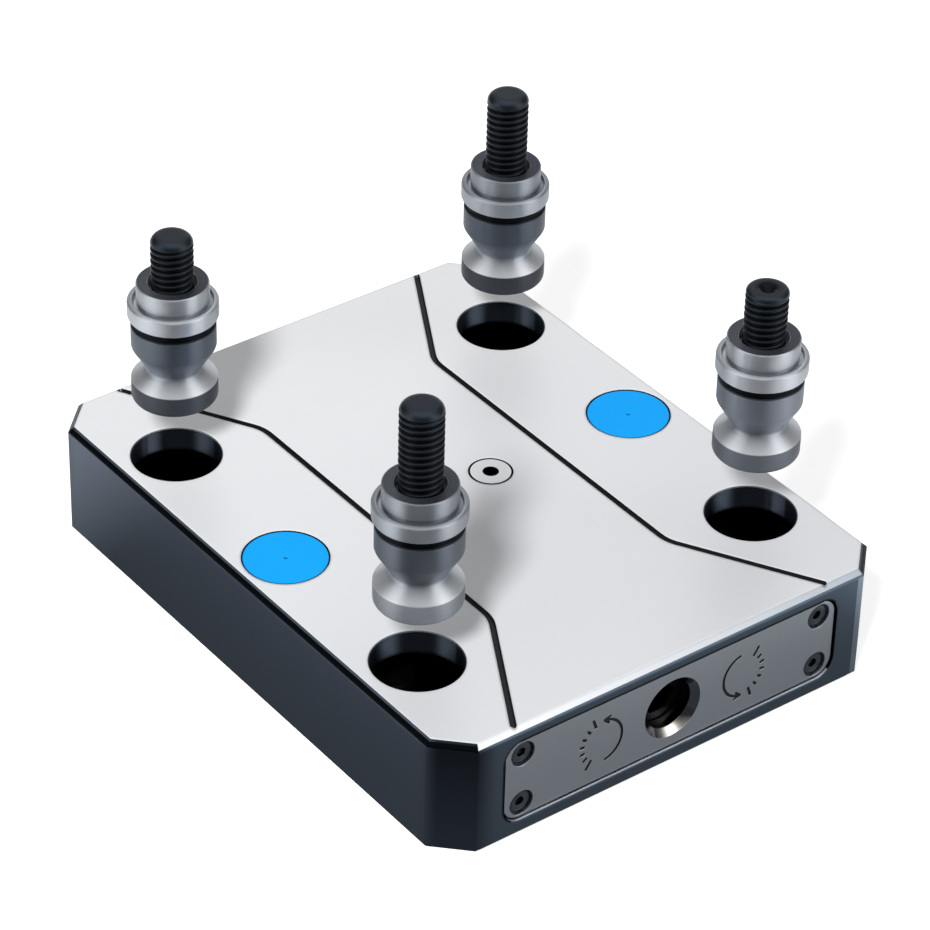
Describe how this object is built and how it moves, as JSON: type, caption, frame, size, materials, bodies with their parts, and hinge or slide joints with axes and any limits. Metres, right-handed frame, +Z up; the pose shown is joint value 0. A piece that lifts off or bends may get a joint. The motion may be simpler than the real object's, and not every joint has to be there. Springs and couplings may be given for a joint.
{
  "type": "zero-point clamping base plate",
  "caption": "Manual quick-change base plate: one hex socket in the front drives opposed slides whose jaws clamp pull studs in the receiver bores.",
  "frame": {"origin": "centre of the underside, on the machine table", "axes": "+X to the right along the front face, +Y from the front cover to the back, +Z up out of the receiver bores"},
  "size_m": [0.126, 0.16, 0.0992],
  "materials": {
    "ground_steel": "ground top, burnished dark sides",
    "cover_steel": "fine brushed",
    "black_oxide_steel": "black oxide",
    "machined_steel": "machined",
    "hardened_steel": "hardened, ground",
    "bronze": "machined",
    "seal_rubber": "matt",
    "blue_plastic": "satin",
    "stud_steel": "turned, gunmetal shank, polished cone",
    "black_thread": "black oxide"
  },
  "bodies": {
    "base": {"base_plate": "ground_steel", "bottom_cover": "cover_steel", "cover_screws": "black_oxide_steel", "front_cover": "cover_steel", "front_cover_screws": "black_oxide_steel", "front_bushing": "bronze", "thrust_fork": "machined_steel", "fork_screws": "black_oxide_steel", "rear_bearing": "machined_steel", "rear_bearing_screws": "black_oxide_steel", "lube_nipple": "machined_steel", "left_plug": "blue_plastic", "right_plug": "blue_plastic"},
    "drive": {"spindle": "machined_steel", "drive_hub": "black_oxide_steel", "drive_pin": "black_oxide_steel", "hub_seal": "seal_rubber"},
    "front_clamp": {"front_slide": "machined_steel", "front_nut": "bronze", "front_left_jaw": "hardened_steel", "front_right_jaw": "hardened_steel", "front_jaw_screws": "black_oxide_steel"},
    "rear_clamp": {"rear_slide": "machined_steel", "rear_nut": "bronze", "rear_left_jaw": "hardened_steel", "rear_right_jaw": "hardened_steel", "rear_jaw_screws": "black_oxide_steel"},
    "stud_front_left": {"front_left_stud": "stud_steel", "front_left_screw": "black_thread"},
    "stud_front_right": {"front_right_stud": "stud_steel", "front_right_screw": "black_thread"},
    "stud_rear_left": {"rear_left_stud": "stud_steel", "rear_left_screw": "black_thread"},
    "stud_rear_right": {"rear_right_stud": "stud_steel", "rear_right_screw": "black_thread"}
  },
  "joints": [
    {"name": "spindle_turn", "type": "hinge", "parent": "base", "child": "drive", "pos_m": [0, 0, 0.01515], "axis": [0, 1, 0], "range_deg": [0, 360]},
    {"name": "front_clamp_travel", "type": "slide", "parent": "base", "child": "front_clamp", "axis": [0, -1, 0], "range_m": [0, 0.005]},
    {"name": "rear_clamp_travel", "type": "slide", "parent": "base", "child": "rear_clamp", "axis": [0, 1, 0], "range_m": [0, 0.005]},
    {"name": "front_left_stud_lower", "type": "slide", "parent": "base", "child": "stud_front_left", "axis": [0, 0, -1], "range_m": [0, 0.0438]},
    {"name": "front_right_stud_lower", "type": "slide", "parent": "base", "child": "stud_front_right", "axis": [0, 0, -1], "range_m": [0, 0.0448]},
    {"name": "rear_left_stud_lower", "type": "slide", "parent": "base", "child": "stud_rear_left", "axis": [0, 0, -1], "range_m": [0, 0.04385]},
    {"name": "rear_right_stud_lower", "type": "slide", "parent": "base", "child": "stud_rear_right", "axis": [0, 0, -1], "range_m": [0, 0.0417]}
  ],
  "couplings": [
    {"joint": "spindle_turn", "follows": "front_clamp_travel", "rad_per_m": 1256.6},
    {"joint": "rear_clamp_travel", "follows": "front_clamp_travel", "ratio": 1}
  ]
}
